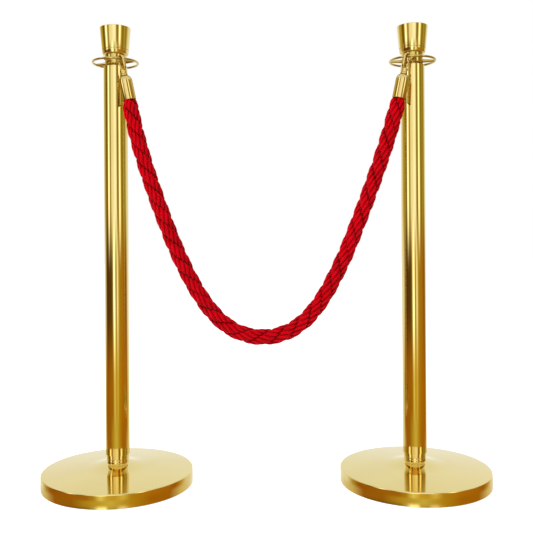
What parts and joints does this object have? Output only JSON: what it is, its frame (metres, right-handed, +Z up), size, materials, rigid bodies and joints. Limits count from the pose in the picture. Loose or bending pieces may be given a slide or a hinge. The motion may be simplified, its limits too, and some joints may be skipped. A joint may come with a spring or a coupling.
{
  "type": "rope barrier stanchion set",
  "caption": "Crown-top barrier posts on round weighted bases, joined by a hanging twisted rope whose sprung snap hooks clip on the ring below each crown.",
  "frame": {"origin": "on the floor, midway between the two posts' axes", "axes": "+Z up along the posts, +X from the left post to the right post, -Y to the front, where the rope hangs"},
  "size_m": [0.958, 0.32, 0.979],
  "materials": {
    "gold_plate": "mirror polished",
    "hook_brass": "polished",
    "zinc_steel": "zinc plated",
    "spring_steel": "bright drawn",
    "cast_iron": "rough cast, painted black",
    "rubber": "matt",
    "rope_red": "twisted polypropylene, soft sheen"
  },
  "bodies": {
    "left_post": {"left_crown_shell": "gold_plate", "left_crown_base": "gold_plate", "left_head_stud": "zinc_steel", "left_ring_head": "gold_plate", "left_top_plug": "zinc_steel", "left_post_tube": "gold_plate", "left_bottom_plug": "gold_plate", "left_base_collar": "gold_plate", "left_base_cover": "gold_plate", "left_base_weight": "cast_iron", "left_base_pad": "rubber", "left_base_bolt": "zinc_steel", "left_base_spring_washer": "zinc_steel", "left_base_flat_washer": "zinc_steel"},
    "right_post": {"right_crown_shell": "gold_plate", "right_crown_base": "gold_plate", "right_head_stud": "zinc_steel", "right_ring_head": "gold_plate", "right_top_plug": "zinc_steel", "right_post_tube": "gold_plate", "right_bottom_plug": "gold_plate", "right_base_collar": "gold_plate", "right_base_cover": "gold_plate", "right_base_weight": "cast_iron", "right_base_pad": "rubber", "right_base_bolt": "zinc_steel", "right_base_spring_washer": "zinc_steel", "right_base_flat_washer": "zinc_steel"},
    "rope_line": {"rope": "rope_red", "left_ferrule": "hook_brass", "left_ferrule_screw": "hook_brass", "left_swivel_collar": "hook_brass", "right_ferrule": "hook_brass", "right_ferrule_screw": "hook_brass", "right_swivel_collar": "hook_brass"},
    "left_hook": {"left_hook_body": "hook_brass", "left_swivel_pin": "hook_brass", "left_gate_pin": "hook_brass", "left_gate_spring": "spring_steel"},
    "left_gate": {"left_hook_gate": "hook_brass"},
    "right_hook": {"right_hook_body": "hook_brass", "right_swivel_pin": "hook_brass", "right_gate_pin": "hook_brass", "right_gate_spring": "spring_steel"},
    "right_gate": {"right_hook_gate": "hook_brass"}
  },
  "joints": [
    {"name": "post_turn", "type": "hinge", "parent": "left_post", "child": "right_post", "pos_m": [-0.319, 0, 0], "axis": [0, 0, 1], "range_deg": [-28, 28]},
    {"name": "rope_swing", "type": "hinge", "parent": "right_post", "child": "rope_line", "pos_m": [0, -0.0432, 0.90194], "axis": [-1, 0, 0], "range_deg": [-10, 45]},
    {"name": "left_hook_swivel", "type": "hinge", "parent": "rope_line", "child": "left_hook", "pos_m": [-0.29919, -0.0432, 0.90194], "axis": [-0.1976, 0, 0.9803], "range_deg": [-50, 7]},
    {"name": "left_gate_hinge", "type": "hinge", "parent": "left_hook", "child": "left_gate", "pos_m": [-0.29657, -0.04023, 0.8739], "axis": [0.6932, 0.7071, 0.1397], "range_deg": [0, 25], "stiffness_Nm_per_rad": 0.02, "springref_deg": -28.65},
    {"name": "right_hook_swivel", "type": "hinge", "parent": "rope_line", "child": "right_hook", "pos_m": [0.29919, -0.0432, 0.90194], "axis": [0.1976, 0, 0.9803], "range_deg": [-7, 50]},
    {"name": "right_gate_hinge", "type": "hinge", "parent": "right_hook", "child": "right_gate", "pos_m": [0.29657, -0.04023, 0.8739], "axis": [0.6932, -0.7071, -0.1397], "range_deg": [0, 25], "stiffness_Nm_per_rad": 0.02, "springref_deg": -28.65}
  ]
}
